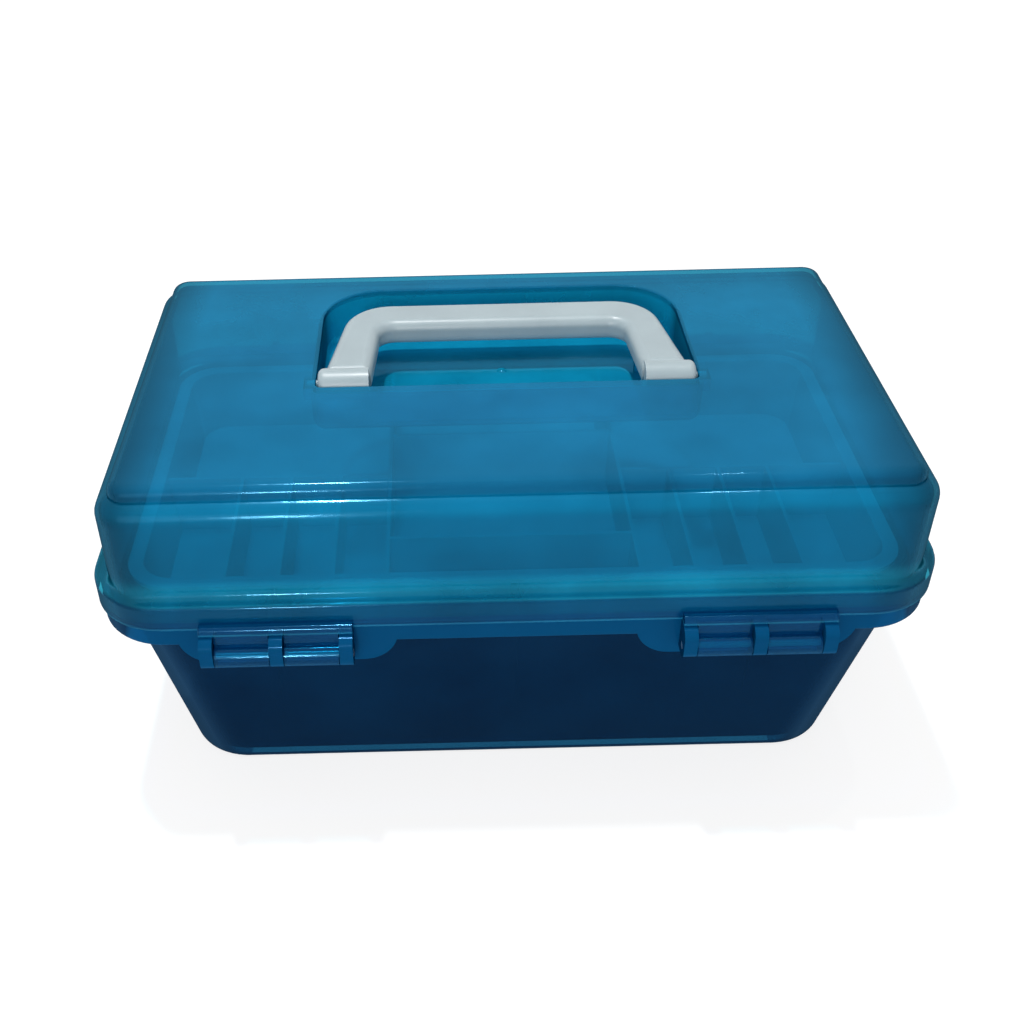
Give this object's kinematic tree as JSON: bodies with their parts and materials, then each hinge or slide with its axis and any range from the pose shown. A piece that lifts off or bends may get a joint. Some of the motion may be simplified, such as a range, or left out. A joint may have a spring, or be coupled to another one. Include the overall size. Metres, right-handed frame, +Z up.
{
  "type": "organizer box",
  "caption": "Translucent blue plastic organizer box with hinged lid, snap latches, folding carry handle in a lid pocket and lift-out compartment tray.",
  "frame": {"origin": "middle of the footprint, on the surface that the box stands on", "axes": "+Z up; +X along the box's width; hinges face -Y and latches face +Y"},
  "size_m": [0.32, 0.2116, 0.1535],
  "materials": {
    "tub_plastic": "translucent deep blue, glossy",
    "lid_plastic": "translucent blue, glossy with light scuffs",
    "tray_plastic": "translucent pale blue, satin gloss",
    "handle_plastic": "milky white, soft gloss",
    "latch_plastic": "milky white, soft gloss",
    "pin_steel": "plain drawn wire"
  },
  "bodies": {
    "base": {"base_tub": "tub_plastic", "hinge_pin_left": "pin_steel", "hinge_pin_right": "pin_steel"},
    "lid": {"lid_shell": "lid_plastic"},
    "handle": {"carry_handle": "handle_plastic"},
    "tray": {"lift_out_tray": "tray_plastic"},
    "latch_left_body": {"latch_left": "latch_plastic"},
    "latch_right_body": {"latch_right": "latch_plastic"}
  },
  "joints": [
    {"name": "lid_hinge", "type": "hinge", "parent": "base", "child": "lid", "pos_m": [0, -0.1013, 0.0845], "axis": [1, 0, 0], "range_deg": [0, 105]},
    {"name": "handle_hinge", "type": "hinge", "parent": "lid", "child": "handle", "pos_m": [0, -0.0122, 0.1473], "axis": [1, 0, 0], "range_deg": [0, 90]},
    {"name": "latch_left_hinge", "type": "hinge", "parent": "lid", "child": "latch_left_body", "pos_m": [-0.088, 0.1013, 0.0995], "axis": [1, 0, 0], "range_deg": [0, 110]},
    {"name": "latch_right_hinge", "type": "hinge", "parent": "lid", "child": "latch_right_body", "pos_m": [0.088, 0.1013, 0.0995], "axis": [1, 0, 0], "range_deg": [0, 110]},
    {"name": "tray_lift", "type": "slide", "parent": "base", "child": "tray", "axis": [0, 0, 1], "range_m": [0, 0.025]}
  ]
}
